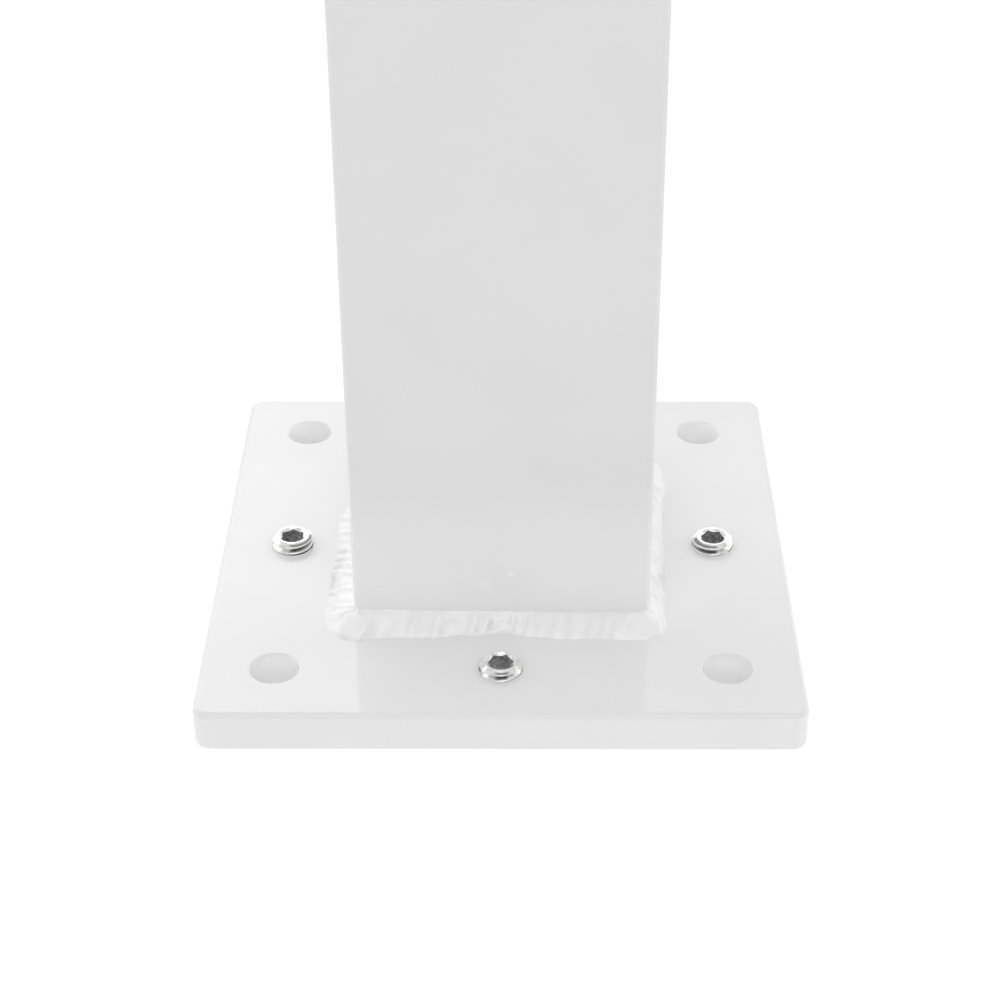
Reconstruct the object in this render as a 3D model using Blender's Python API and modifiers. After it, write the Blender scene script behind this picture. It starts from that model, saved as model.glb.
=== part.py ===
"""Railing post for stairs: a square tube welded to a square base plate that levels on four set screws.

Metres, +Z up, with the origin at the middle of the plate's underside and -Y at the front.
"""
import math
from collections import namedtuple

import bmesh
import bpy
from mathutils import Matrix, Vector

INCH = 0.0254
MM = 0.001

# Air between two pieces that touch in the real post.
SEAT_GAP = 0.3 * MM

# Square tube
POST_HEIGHT = 42 * INCH
TUBE_SIDE = 2.5 * INCH
TUBE_WALL = 0.1 * INCH
TUBE_CORNER_RADIUS = 1.3 * MM
TUBE_INNER_CORNER_RADIUS = 0.8 * MM
TUBE_CORNER_STEPS = 4
TUBE_FOOT_BEVEL = 0.3 * MM

# Base plate, whose holes lie on a square line midway along the ledge round the tube
PLATE_THICKNESS = 0.375 * INCH
HOLE_LINE_FROM_TUBE = 0.625 * INCH
HOLE_LINE_FROM_EDGE = 0.625 * INCH
PLATE_CORNER_RADIUS = 3.5 * MM
PLATE_CORNER_STEPS = 4
PLATE_RIM_RADIUS = 1.2 * MM
PLATE_RIM_STEPS = 3

# Bolt holes
BOLT_HOLE_DIAMETER = 13 / 32 * INCH
BOLT_HOLE_LIP = 0.5 * MM
HOLE_SIDES = 24
LIP_STEPS = 2

# Leveling set screws
SCREW_DIAMETER = 0.375 * INCH
SCREW_PITCH = INCH / 16
SCREW_LENGTH = 0.375 * INCH
SCREW_END_CHAMFER = 1.05 * MM
SCREW_SIDES = 14
THREAD_DEPTH = 0.9 * MM
THREAD_CREST = 0.25 * MM
SOCKET_ACROSS_FLATS = 3 / 16 * INCH
SOCKET_DEPTH = 4.5 * MM
SOCKET_CORNERS_TURN = 30
LEAD_IN_MARGIN = 0.35 * MM
LEAD_IN_DEPTH = 0.5 * MM
SCREW_HOLE_LIP = 0.55 * MM

# Each screw: the side of the plate it is on, how far it stands proud, and the bearing of a socket corner
Screw = namedtuple("Screw", "side across along proud corner_degrees")
SCREWS = (
    Screw("front", 0, -1, 2.0 * MM, 5),
    Screw("left", -1, 0, 2.6 * MM, 30),
    Screw("right", 1, 0, 2.3 * MM, 50),
    Screw("back", 0, 1, 2.4 * MM, 20),
)
SIDE_SCREWS_FORWARD = 1.2 * MM

# Fillet weld: the height of its leg on the tube, then each side's run, going round from the right side
# by the back, with its leg on the plate at the start, the middle and the end, and its ripples' pitch and bow
WELD_RISE = 3.5 * MM
WeldRun = namedtuple("WeldRun", "reach_start reach_middle reach_end pitch bow")
WELD_RUNS = (
    WeldRun(3.9 * MM, 4.7 * MM, 5.6 * MM, 3.0 * MM, 1.3 * MM),
    WeldRun(5.4 * MM, 4.6 * MM, 5.7 * MM, 3.1 * MM, 1.0 * MM),
    WeldRun(5.8 * MM, 6.2 * MM, 6.1 * MM, 2.2 * MM, 0.4 * MM),
    WeldRun(6.1 * MM, 3.5 * MM, 5.7 * MM, 3.1 * MM, 1.0 * MM),
)
WELD_BULGE = 0.45 * MM
WELD_RIPPLE_HEIGHT = 0.35 * MM
WELD_RIPPLE_LEAN = 0.8 * MM
WELD_SLICES_PER_RIPPLE = 3
WELD_FACE_STEPS = 4

# Flat cap that plugs the tube's open top
CAP_THICKNESS = 3.0 * MM
CAP_EDGE_RADIUS = 0.8 * MM
CAP_EDGE_STEPS = 3
PLUG_DEPTH = 14.0 * MM
PLUG_WALL = 2.0 * MM

# Worked out from the values above
PLATE_SIDE = TUBE_SIDE + 2 * (HOLE_LINE_FROM_TUBE + HOLE_LINE_FROM_EDGE)
HOLE_LINE = TUBE_SIDE / 2 + HOLE_LINE_FROM_TUBE
SCREW_HOLE_DIAMETER = SCREW_DIAMETER + 2 * SEAT_GAP
TUBE_BOTTOM = PLATE_THICKNESS + SEAT_GAP
TUBE_TOP = POST_HEIGHT - CAP_THICKNESS - SEAT_GAP
WELD_TOP = TUBE_BOTTOM + WELD_RISE + WELD_BULGE + WELD_RIPPLE_HEIGHT
CUTTER_OVERSHOOT = 2.0 * MM
MERGE_DISTANCE = 0.001 * MM


def clear_scene():
    for old in list(bpy.data.objects):
        bpy.data.objects.remove(old, do_unlink=True)


def new_collection(name):
    collection = bpy.data.collections.new(name)
    bpy.context.scene.collection.children.link(collection)
    return collection


def finish_material(name, colour, roughness, metallic, coat=0.0):
    material = bpy.data.materials.new(name)
    material.use_nodes = True
    shader = material.node_tree.nodes["Principled BSDF"]
    shader.inputs["Base Color"].default_value = (*colour, 1.0)
    shader.inputs["Roughness"].default_value = roughness
    shader.inputs["Metallic"].default_value = metallic
    shader.inputs["Coat Weight"].default_value = coat
    return material


def powder_coat(name):
    """White gloss powder coat."""
    return finish_material(name, (0.76, 0.76, 0.76), 0.3, 0.0, coat=1.0)


def bright_stainless(name):
    return finish_material(name, (0.62, 0.61, 0.59), 0.22, 1.0)


def add_object(name, mesh, collection, material=None):
    piece = bpy.data.objects.new(name, mesh)
    collection.objects.link(piece)
    if material and not mesh.materials:
        mesh.materials.append(material)
    return piece


def add_mesh_object(name, bm, collection, material=None):
    mesh = bpy.data.meshes.new(name)
    bm.to_mesh(mesh)
    bm.free()
    return add_object(name, mesh, collection, material)


def shade_round(mesh, sharp_degrees=35):
    mesh.shade_smooth()
    mesh.set_sharp_from_angle(angle=math.radians(sharp_degrees))


def add_cutter(name, bm, collection):
    cutter = add_mesh_object(name, bm, collection)
    cutter.hide_render = True
    cutter.display_type = "WIRE"
    return cutter


def cut(piece, cutter, operation="DIFFERENCE"):
    modifier = piece.modifiers.new(cutter.name, "BOOLEAN")
    modifier.operation = operation
    modifier.object = cutter
    modifier.solver = "EXACT"


def keep_faces_flat(piece):
    """Shades the broad faces of a cut piece flat between its rounded rims."""
    piece.modifiers.new("flat_faces", "WEIGHTED_NORMAL").keep_sharp = True


def evaluated_mesh(source):
    """The mesh of an object with its modifiers applied."""
    graph = bpy.context.evaluated_depsgraph_get()
    return bpy.data.meshes.new_from_object(source.evaluated_get(graph))


def box_with_round_corners(size_x, size_y, low_z, high_z, radius, steps):
    """A box on the Z axis whose upright edges are rounded."""
    bm = bmesh.new()
    placing = Matrix.Translation((0, 0, (low_z + high_z) / 2))
    scaling = Matrix.Diagonal((size_x, size_y, high_z - low_z, 1))
    bmesh.ops.create_cube(bm, size=1, matrix=placing @ scaling)
    upright = [e for e in bm.edges if abs(e.verts[0].co.z - e.verts[1].co.z) > MERGE_DISTANCE]
    bmesh.ops.bevel(bm, geom=upright, offset=radius, segments=steps, profile=0.5, affect="EDGES")
    return bm


def round_rim(bm, height, radius, steps):
    """Rounds the edges that lie at one height."""
    rim = [
        e for e in bm.edges
        if all(abs(v.co.z - height) < MERGE_DISTANCE for v in e.verts) and not e.is_boundary
    ]
    bmesh.ops.bevel(bm, geom=rim, offset=radius, segments=steps, profile=0.5, affect="EDGES")


def rounded_square(half_side, radius, steps):
    """The corner points of a square with round corners, turning from +X to +Y."""
    points = []
    for quarter in range(4):
        middle = Matrix.Rotation(quarter * math.pi / 2, 2) @ Vector((half_side - radius, half_side - radius))
        for step in range(steps + 1):
            turn = (quarter + step / steps) * math.pi / 2
            points.append(middle + radius * Vector((math.cos(turn), math.sin(turn))))
    return points


def turned_cutter(name, profile, sides, collection):
    """A solid turned about Z from (radius, height) points that run from its top to its bottom."""
    bm = bmesh.new()
    corners = [bm.verts.new((radius, 0, height)) for radius, height in profile]
    for upper, lower in zip(corners, corners[1:]):
        bm.edges.new((upper, lower))
    cutter = add_cutter(name, bm, collection)
    turning = cutter.modifiers.new("turned", "SCREW")
    turning.steps = sides
    turning.render_steps = sides
    turning.use_merge_vertices = True
    turning.merge_threshold = MERGE_DISTANCE
    return cutter


def hole_profile(radius, lip):
    """A bore through the plate that flares with a rounded lip at the top and a chamfer at the bottom."""
    profile = [(0, PLATE_THICKNESS + CUTTER_OVERSHOOT)]
    profile.append((radius + lip, PLATE_THICKNESS + CUTTER_OVERSHOOT))
    for step in range(LIP_STEPS + 1):
        turn = step / LIP_STEPS * math.pi / 2
        profile.append((radius + lip * (1 - math.sin(turn)), PLATE_THICKNESS - lip * (1 - math.cos(turn))))
    profile.append((radius, lip))
    profile.append((radius + lip, 0))
    profile.append((radius + lip, -CUTTER_OVERSHOOT))
    profile.append((0, -CUTTER_OVERSHOOT))
    return profile


def screw_centre(screw):
    """Where a screw's axis stands on the plate: the two side screws lie a little in front of the middle."""
    forward = SIDE_SCREWS_FORWARD * abs(screw.across)
    return screw.across * HOLE_LINE, screw.along * HOLE_LINE - forward


def build_base_plate(parts, cutters):
    bm = box_with_round_corners(
        PLATE_SIDE, PLATE_SIDE, 0, PLATE_THICKNESS, PLATE_CORNER_RADIUS, PLATE_CORNER_STEPS
    )
    round_rim(bm, PLATE_THICKNESS, PLATE_RIM_RADIUS, PLATE_RIM_STEPS)
    round_rim(bm, 0, PLATE_RIM_RADIUS, PLATE_RIM_STEPS)
    plate = add_mesh_object("base_plate", bm, parts, powder_coat("base_plate"))
    shade_round(plate.data)
    for across in (-1, 1):
        for along in (-1, 1):
            name = f"bolt_hole_{'right' if across > 0 else 'left'}_{'back' if along > 0 else 'front'}"
            profile = hole_profile(BOLT_HOLE_DIAMETER / 2, BOLT_HOLE_LIP)
            hole = turned_cutter(name, profile, HOLE_SIDES, cutters)
            hole.location = (across * HOLE_LINE, along * HOLE_LINE, 0)
            cut(plate, hole)
    for screw in SCREWS:
        profile = hole_profile(SCREW_HOLE_DIAMETER / 2, SCREW_HOLE_LIP)
        hole = turned_cutter(f"screw_hole_{screw.side}", profile, HOLE_SIDES, cutters)
        hole.location = (*screw_centre(screw), 0)
        cut(plate, hole)
    keep_faces_flat(plate)


def tube_blank():
    """The tube as a flat outline with its bore, extruded to its length."""
    outline = bpy.data.curves.new("tube_outline", "CURVE")
    outline.dimensions = "2D"
    outline.fill_mode = "BOTH"
    outline.extrude = (TUBE_TOP - TUBE_BOTTOM) / 2
    inner_half = TUBE_SIDE / 2 - TUBE_WALL
    for half_side, radius in (
        (TUBE_SIDE / 2, TUBE_CORNER_RADIUS),
        (inner_half, TUBE_INNER_CORNER_RADIUS),
    ):
        points = rounded_square(half_side, radius, TUBE_CORNER_STEPS)
        spline = outline.splines.new("POLY")
        spline.points.add(len(points) - 1)
        for spline_point, place in zip(spline.points, points):
            spline_point.co = (place.x, place.y, 0, 1)
        spline.use_cyclic_u = True
    blank = bpy.data.objects.new("tube_outline", outline)
    bpy.context.scene.collection.objects.link(blank)
    return blank


def build_post_tube(parts):
    """The tube, whose foot is bevelled a little for welding up to the height of the bead."""
    blank = tube_blank()
    bm = bmesh.new()
    bm.from_mesh(evaluated_mesh(blank))
    bpy.data.objects.remove(blank)
    bmesh.ops.translate(bm, verts=bm.verts, vec=(0, 0, (TUBE_BOTTOM + TUBE_TOP) / 2))
    bmesh.ops.remove_doubles(bm, verts=bm.verts, dist=MERGE_DISTANCE)
    bmesh.ops.bisect_plane(
        bm, geom=bm.verts[:] + bm.edges[:] + bm.faces[:], dist=MERGE_DISTANCE,
        plane_co=(0, 0, WELD_TOP), plane_no=(0, 0, 1),
    )
    wall_middle = TUBE_SIDE / 2 - TUBE_WALL / 2
    foot = [v for v in bm.verts if v.co.z < WELD_TOP / 2 + TUBE_BOTTOM / 2]
    outer_foot = [v for v in foot if max(abs(v.co.x), abs(v.co.y)) > wall_middle]
    narrowing = 1 - TUBE_FOOT_BEVEL / (TUBE_SIDE / 2)
    bmesh.ops.scale(bm, verts=outer_foot, vec=(narrowing, narrowing, 1))
    tube = add_mesh_object("post_tube", bm, parts, powder_coat("post_tube"))
    shade_round(tube.data)


def eased(start, end, share):
    return start + (end - start) * (1 - math.cos(share * math.pi)) / 2


class WeldPath:
    """The rounded square round the tube's foot, as four quarters that each run along a side and a corner."""

    def __init__(self):
        self.radius = TUBE_CORNER_RADIUS + SEAT_GAP
        self.straight = TUBE_SIDE - 2 * TUBE_CORNER_RADIUS
        mean_reach = sum(run.reach_middle for run in WELD_RUNS) / len(WELD_RUNS)
        self.arc = math.pi / 2 * (self.radius + mean_reach / 2)
        self.quarter_length = self.straight + self.arc

    def reach(self, quarter, along):
        """The weld's leg on the plate, eased between the places where it is named."""
        run = WELD_RUNS[quarter]
        onward = WELD_RUNS[(quarter + 1) % 4]
        half = self.straight / 2
        if along < half:
            return eased(run.reach_start, run.reach_middle, along / half)
        if along < self.straight:
            return eased(run.reach_middle, run.reach_end, along / half - 1)
        return eased(run.reach_end, onward.reach_start, (along - self.straight) / self.arc)

    def point(self, quarter, along, offset, height):
        """A point at a distance along a quarter, an offset out from the tube and a height over the plate."""
        quarters_on, along = divmod(along, self.quarter_length)
        turn = max(0.0, along - self.straight) / self.arc * math.pi / 2
        corner = Vector((self.straight / 2, min(along, self.straight) - self.straight / 2))
        out = Vector((math.cos(turn), math.sin(turn)))
        facing = Matrix.Rotation((quarter + quarters_on) * math.pi / 2, 2)
        flat = facing @ (corner + out * (self.radius + offset))
        return Vector((flat.x, flat.y, TUBE_BOTTOM + height))


def ripple(phase):
    """One ripple of the weld pool: a quick rise and a long fall, from 0 to 1."""
    part = phase % 1
    rise = 1 / WELD_SLICES_PER_RIPPLE
    return part / rise if part < rise else (1 - part) / (1 - rise)


def weld_slice(path, quarter, along, phase):
    """The points of one slice of the bead, from its hidden inner corner over its face to its top."""
    run = WELD_RUNS[quarter]
    next_run = WELD_RUNS[(quarter + 1) % 4]
    bow = run.bow + (next_run.bow - run.bow) * along / path.quarter_length
    reach = path.reach(quarter, along)
    slice_points = [path.point(quarter, along, 0, 0)]
    for step in range(WELD_FACE_STEPS + 1):
        up = step / WELD_FACE_STEPS
        across = 4 * up * (1 - up)
        swell = WELD_BULGE * across + WELD_RIPPLE_HEIGHT * ripple(phase) * (0.4 + 0.6 * across)
        offset = reach * (1 - up) + (swell if step < WELD_FACE_STEPS else 0)
        height = WELD_RISE * up + (swell if step > 0 else 0)
        shift = bow * across + WELD_RIPPLE_LEAN * up
        slice_points.append(path.point(quarter, along + shift, offset, height))
    return slice_points


def build_weld_bead(parts):
    path = WeldPath()
    bm = bmesh.new()
    slices = []
    for quarter, run in enumerate(WELD_RUNS):
        count = round(path.quarter_length / run.pitch) * WELD_SLICES_PER_RIPPLE
        for index in range(count):
            along = index / count * path.quarter_length
            points = weld_slice(path, quarter, along, index / WELD_SLICES_PER_RIPPLE)
            slices.append([bm.verts.new(point) for point in points])
    for here, onward in zip(slices, slices[1:] + slices[:1]):
        for place, (low, high) in enumerate(zip(here, here[1:] + here[:1])):
            after = (place + 1) % len(here)
            bm.faces.new((low, onward[place], onward[after], high))
    bmesh.ops.recalc_face_normals(bm, faces=bm.faces)
    bead = add_mesh_object("weld_bead", bm, parts, powder_coat("weld_bead"))
    shade_round(bead.data)


def threaded_rod():
    """A plain rod with a helical thread, cut off square at both ends."""
    turns = math.ceil(SCREW_LENGTH / SCREW_PITCH) + 2
    flank = (SCREW_PITCH - THREAD_CREST) / 2
    crest_radius = SCREW_DIAMETER / 2
    root_radius = crest_radius - THREAD_DEPTH
    bm = bmesh.new()
    corners = []
    top = (turns - 1) * SCREW_PITCH
    for turn in range(turns):
        start = top - turn * SCREW_PITCH
        for drop, radius in ((0, root_radius), (flank, crest_radius), (flank + THREAD_CREST, crest_radius)):
            corners.append(bm.verts.new((radius, 0, start - drop)))
    corners.append(bm.verts.new((root_radius, 0, top - turns * SCREW_PITCH)))
    for upper, lower in zip(corners, corners[1:]):
        bm.edges.new((upper, lower))
    helix = add_mesh_object("thread_helix", bm, bpy.context.scene.collection)
    winding = helix.modifiers.new("winding", "SCREW")
    winding.steps = SCREW_SIDES
    winding.render_steps = SCREW_SIDES
    winding.screw_offset = SCREW_PITCH
    winding.use_merge_vertices = True
    winding.merge_threshold = MERGE_DISTANCE
    bm = bmesh.new()
    bm.from_mesh(evaluated_mesh(helix))
    bpy.data.objects.remove(helix)
    bmesh.ops.remove_doubles(bm, verts=bm.verts, dist=MERGE_DISTANCE)
    for height, facing in ((0, -1), (SCREW_LENGTH, 1)):
        bmesh.ops.bisect_plane(
            bm, geom=bm.verts[:] + bm.edges[:] + bm.faces[:], dist=MERGE_DISTANCE,
            plane_co=(0, 0, height), plane_no=(0, 0, facing), clear_outer=True,
        )
        rim = [e for e in bm.edges if e.is_boundary and abs(e.verts[0].co.z - height) < MERGE_DISTANCE]
        bmesh.ops.edgeloop_fill(bm, edges=rim)
    bmesh.ops.recalc_face_normals(bm, faces=bm.faces)
    return bm


def screw_envelope(cutters):
    """The turned outline that chamfers both ends of the thread."""
    radius = SCREW_DIAMETER / 2 + SCREW_END_CHAMFER
    narrow = SCREW_DIAMETER / 2 - SCREW_END_CHAMFER
    slope = radius - narrow
    profile = [
        (0, SCREW_LENGTH), (narrow, SCREW_LENGTH), (radius, SCREW_LENGTH - slope),
        (radius, slope), (narrow, 0), (0, 0),
    ]
    return turned_cutter("screw_envelope", profile, SCREW_SIDES * 2, cutters)


def socket_cutter(cutters):
    """The hexagonal socket, with a corner towards +X, that runs out past the screw's top face."""
    corner_radius = SOCKET_ACROSS_FLATS / math.sqrt(3)
    turning = Matrix.Rotation(math.radians(SOCKET_CORNERS_TURN), 4, "Z")
    top = SCREW_LENGTH + CUTTER_OVERSHOOT
    bottom = SCREW_LENGTH - SOCKET_DEPTH
    bm = bmesh.new()
    bmesh.ops.create_cone(
        bm, cap_ends=True, segments=6, radius1=corner_radius, radius2=corner_radius, depth=top - bottom,
        matrix=Matrix.Translation((0, 0, (top + bottom) / 2)) @ turning,
    )
    return add_cutter("hex_socket", bm, cutters)


def lead_in_cutter(cutters):
    """The shallow cone that leads a key into the socket, from past its corners down to its flats."""
    mouth = SOCKET_ACROSS_FLATS / math.sqrt(3) + LEAD_IN_MARGIN
    narrow = SOCKET_ACROSS_FLATS / 2
    spread = (mouth - narrow) / LEAD_IN_DEPTH
    height = LEAD_IN_DEPTH + CUTTER_OVERSHOOT
    wide = narrow + spread * height
    bm = bmesh.new()
    bmesh.ops.create_cone(
        bm, cap_ends=True, segments=HOLE_SIDES, radius1=narrow, radius2=wide, depth=height,
        matrix=Matrix.Translation((0, 0, SCREW_LENGTH - LEAD_IN_DEPTH + height / 2)),
    )
    return add_cutter("socket_lead_in", bm, cutters)


def leveling_screw_mesh(cutters):
    """One set screw standing on the origin, with its socket opening upwards."""
    blank = add_mesh_object("screw_blank", threaded_rod(), bpy.context.scene.collection)
    cut(blank, screw_envelope(cutters), "INTERSECT")
    cut(blank, socket_cutter(cutters))
    cut(blank, lead_in_cutter(cutters))
    mesh = evaluated_mesh(blank)
    mesh.name = "leveling_screw"
    bpy.data.objects.remove(blank)
    mesh.materials.clear()
    mesh.materials.append(bright_stainless("leveling_screw"))
    shade_round(mesh)
    return mesh


def build_leveling_screws(parts, cutters):
    mesh = leveling_screw_mesh(cutters)
    for screw in SCREWS:
        piece = add_object(f"leveling_screw_{screw.side}", mesh, parts)
        low = PLATE_THICKNESS + screw.proud - SCREW_LENGTH
        piece.location = (*screw_centre(screw), low)
        piece.rotation_euler.z = math.radians(screw.corner_degrees)


def build_post_cap(parts, cutters):
    flange_bottom = POST_HEIGHT - CAP_THICKNESS
    plug_bottom = flange_bottom - PLUG_DEPTH
    plug_side = TUBE_SIDE - 2 * TUBE_WALL - 2 * SEAT_GAP
    plug_radius = TUBE_INNER_CORNER_RADIUS
    bm = box_with_round_corners(
        TUBE_SIDE, TUBE_SIDE, flange_bottom, POST_HEIGHT, TUBE_CORNER_RADIUS, TUBE_CORNER_STEPS
    )
    round_rim(bm, POST_HEIGHT, CAP_EDGE_RADIUS, CAP_EDGE_STEPS)
    cap = add_mesh_object("post_cap", bm, parts, powder_coat("post_cap"))
    shade_round(cap.data)
    overlap = CAP_THICKNESS / 2
    plug = box_with_round_corners(
        plug_side, plug_side, plug_bottom, flange_bottom + overlap, plug_radius, TUBE_CORNER_STEPS
    )
    cut(cap, add_cutter("cap_plug", plug, cutters), "UNION")
    hollow_side = plug_side - 2 * PLUG_WALL
    hollow = box_with_round_corners(
        hollow_side, hollow_side, plug_bottom - CUTTER_OVERSHOOT, flange_bottom, plug_radius, 1
    )
    cut(cap, add_cutter("cap_hollow", hollow, cutters))
    keep_faces_flat(cap)


def main():
    clear_scene()
    parts = new_collection("stair_post")
    cutters = new_collection("cutters")
    build_base_plate(parts, cutters)
    build_post_tube(parts)
    build_weld_bead(parts)
    build_leveling_screws(parts, cutters)
    build_post_cap(parts, cutters)


main()
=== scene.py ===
"""White railing post on its base plate, with its cap, its rippled weld and its set screws, in a white studio.

Metres, +Z up, with the origin at the middle of the plate's underside and -Y at the front.
"""
import math
from collections import namedtuple

import bmesh
import bpy
from bpy.props import FloatProperty, FloatVectorProperty, IntProperty, PointerProperty
from bpy.types import Operator, Panel, PropertyGroup
from mathutils import Matrix, Vector, noise


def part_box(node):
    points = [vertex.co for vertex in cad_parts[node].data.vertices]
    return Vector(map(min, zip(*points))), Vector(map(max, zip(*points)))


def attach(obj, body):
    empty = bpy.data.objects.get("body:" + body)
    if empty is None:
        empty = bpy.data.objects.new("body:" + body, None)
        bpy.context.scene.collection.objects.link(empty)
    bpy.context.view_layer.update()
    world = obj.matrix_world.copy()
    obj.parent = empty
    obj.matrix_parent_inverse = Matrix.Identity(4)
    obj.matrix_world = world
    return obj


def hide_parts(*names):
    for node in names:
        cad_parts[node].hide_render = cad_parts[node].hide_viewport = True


bl_info = {
    "name": "Stair post",
    "version": (1, 0, 0),
    "blender": (4, 5, 0),
    "location": "3D View > Sidebar > Stair post",
    "description": "Builds a coated railing post, its base plate, weld and set screws, and a white studio",
    "category": "Object",
}

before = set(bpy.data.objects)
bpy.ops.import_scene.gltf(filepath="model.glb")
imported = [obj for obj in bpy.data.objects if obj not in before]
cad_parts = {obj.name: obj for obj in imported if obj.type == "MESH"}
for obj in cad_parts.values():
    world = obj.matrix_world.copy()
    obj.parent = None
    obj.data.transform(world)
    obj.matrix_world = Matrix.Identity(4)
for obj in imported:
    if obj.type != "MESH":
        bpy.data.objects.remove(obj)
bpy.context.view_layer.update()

MM = 0.001
PLATE_LOW, PLATE_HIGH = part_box("base_plate")
TUBE_LOW, TUBE_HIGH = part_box("post_tube")
CAP_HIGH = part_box("post_cap")[1]
PLATE_TOP = PLATE_HIGH.z
TUBE_HALF = TUBE_HIGH.x
HOLE_LINE = (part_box("leveling_screw_right")[0].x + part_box("leveling_screw_right")[1].x) / 2
SCREW_SIDES = ("front", "left", "right", "back")
MERGE_DISTANCE = 1e-6
OVERSHOOT = 2 * MM
SINK = 0.02 * MM
PLUG_GAP = 0.3 * MM
# The colour of the painted highlights on the weld and on the spatter
PURE_WHITE = (1.0, 1.0, 1.0)

# How finely the round forms are stepped
LIP_STEPS = 6
RIM_STEPS = 6
PLATE_CORNER_STEPS = 10
TUBE_CORNER_STEPS = 8
PLUG_CORNER_STEPS = 6
HOLE_SIDES = 72
SCREW_END_SIDES = 96
DRILL_SIDES = 48
THREAD_STEPS = 84

# Each set screw's turn: the bearing of one corner of its socket, the height of its thread's groove over the
# plate at the front, and the middle and half width of the painted shade in its grooves; bearings are in
# degrees
ScrewTurn = namedtuple("ScrewTurn", "socket_bearing groove_height film_bearing film_spread")
SCREW_TURNS = {
    "front": ScrewTurn(5, 0.65 * MM, -87, 18),
    "left": ScrewTurn(30, 1.05 * MM, -45, 50),
    "right": ScrewTurn(50, 0.80 * MM, -130, 50),
    "back": ScrewTurn(20, 0.90 * MM, 60, 45),
}
SCREW_RADIUS = 4.55 * MM
SCREW_HOLE_GAP = 0.03 * MM
SCREW_HOLE_LIP = 0.08 * MM
THREAD_CREST = 0.22 * MM
THREAD_ROOT = 0.16 * MM
CHAMFER_WIDTH = 0.95 * MM
CHAMFER_DROP = 0.60 * MM
END_RIM_WIDTH = 0.08 * MM
END_RIM_DROP = 0.05 * MM
LEAD_IN_WIDTH = 0.35 * MM
LEAD_IN_DEPTH = 0.5 * MM
DRILL_SHARE = 0.92
DRILL_START = 0.2 * MM
DRILL_DEPTH = 0.9 * MM

# Where the painted shade in the grooves fades out, by distance from the screw's axis
GROOVE_SHADE_AT_CREST = (4.42 * MM, 4.22 * MM)
GROOVE_SHADE_AT_CHAMFER = (3.95 * MM, 4.15 * MM)
GROOVE_SHADE_EDGE = 8
TURNING_PITCH = 0.11 * MM

# Fillet weld, going round from the right side by the back: each side's leg on the plate and on the tube, in
# millimetres at even steps along it, how far its face bulges, and its ripples' pitch, height, softness, bow,
# lean and, as a share of the way up the face, where they stand out most
WeldRun = namedtuple("WeldRun", "reaches rises bulge pitch height softness bow lean peak")
WELD_RUNS = (
    WeldRun(
        reaches=(3.8, 4.1, 4.4, 4.6, 4.8, 5.0, 5.6, 6.6, 5.8), rises=(2.9, 3.0, 3.2, 3.6), bulge=0.30 * MM,
        pitch=5.4 * MM, height=0.17 * MM, softness=2.0, bow=0.5 * MM, lean=5.6 * MM, peak=0.50,
    ),
    WeldRun(
        reaches=(5.4, 4.8, 5.2, 4.6, 5.3, 5.0), rises=(3.4, 3.2, 3.6, 3.6), bulge=0.30 * MM,
        pitch=3.1 * MM, height=0.40 * MM, softness=1.2, bow=0.6 * MM, lean=1.4 * MM, peak=0.50,
    ),
    WeldRun(
        reaches=(4.4, 4.3, 4.8, 6.1, 6.0, 5.8, 6.2, 6.4, 6.3), rises=(3.5, 3.9, 3.7, 3.8), bulge=0.30 * MM,
        pitch=3.15 * MM, height=0.40 * MM, softness=1.4, bow=0.2 * MM, lean=5.0 * MM, peak=0.65,
    ),
    WeldRun(
        reaches=(5.8, 5.1, 5.1, 4.3, 3.5, 4.9, 5.7, 5.7, 5.6), rises=(3.8, 3.4, 3.1, 2.9), bulge=-0.10 * MM,
        pitch=3.2 * MM, height=0.28 * MM, softness=1.8, bow=0.3 * MM, lean=1.3 * MM, peak=0.38,
    ),
)
SLICES_PER_RIPPLE = 14
WELD_FACE_STEPS = 20
# Layer that holds the strength of the painted highlight on the weld
CREST_HIGHLIGHT_LAYER = "crest"

# Unevenness of the bead: how much it varies, over what length, and the key of its own random curve
Wander = namedtuple("Wander", "amount width key")
PHASE_WANDER = Wander(0.5, 6 * MM, 3.7)
BOW_WANDER = Wander(0.3, 9 * MM, 6.2)
REACH_WANDER = Wander(0.25 * MM, 5 * MM, 5.5)
RISE_WANDER = Wander(0.15 * MM, 6 * MM, 9.5)
BROAD_LUMPS = Wander(0.16 * MM, 3.5 * MM, 1.3)
FINE_LUMPS = Wander(0.12 * MM, 1.8 * MM, 7.4)
BROAD_LUMPS_CHANGE = 2.2
FINE_LUMPS_CHANGE = 4.5
# Relief at which a crest takes the full painted highlight
HIGHLIGHT_RELIEF = 0.4 * MM

# Puddles where a weld run stopped: their middles, radii and heights, where their rims start as a share of the
# radius, and how uneven their outlines are
WELD_STOPS = (
    ((-31.9 * MM, -35.0 * MM), 3.1 * MM, 0.55 * MM),
    ((30.3 * MM, -36.9 * MM), 5.9 * MM, 0.40 * MM),
    ((-34.6 * MM, 32.9 * MM), 3.4 * MM, 0.45 * MM),
)
STOP_RIM = 0.6
STOP_RIM_HEIGHT = 0.2
STOP_UNEVENNESS = 0.3
STOP_WAVE = 2.2 * MM

# Two spots of spatter under the coat on the tube's front, as places and radii; they are also painted white as
# highlights
SPATTER = (((-3.3 * MM, 19.8 * MM), 1.7 * MM), ((2.2 * MM, 22.4 * MM), 1.4 * MM))
SPATTER_HEIGHT = 0.10 * MM

# Heights between which painted light whitens the coat, at the tube's foot and up the bolt holes
FOOT_LIGHT = (50 * MM, 10 * MM)
BORE_LIGHT = (2.0 * MM, PLATE_TOP)
# How much darker than the tube's coat the bore walls are towards their bottoms
BORE_SHADE = 0.95
WELD_ROUGHNESS = 0.10

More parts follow.
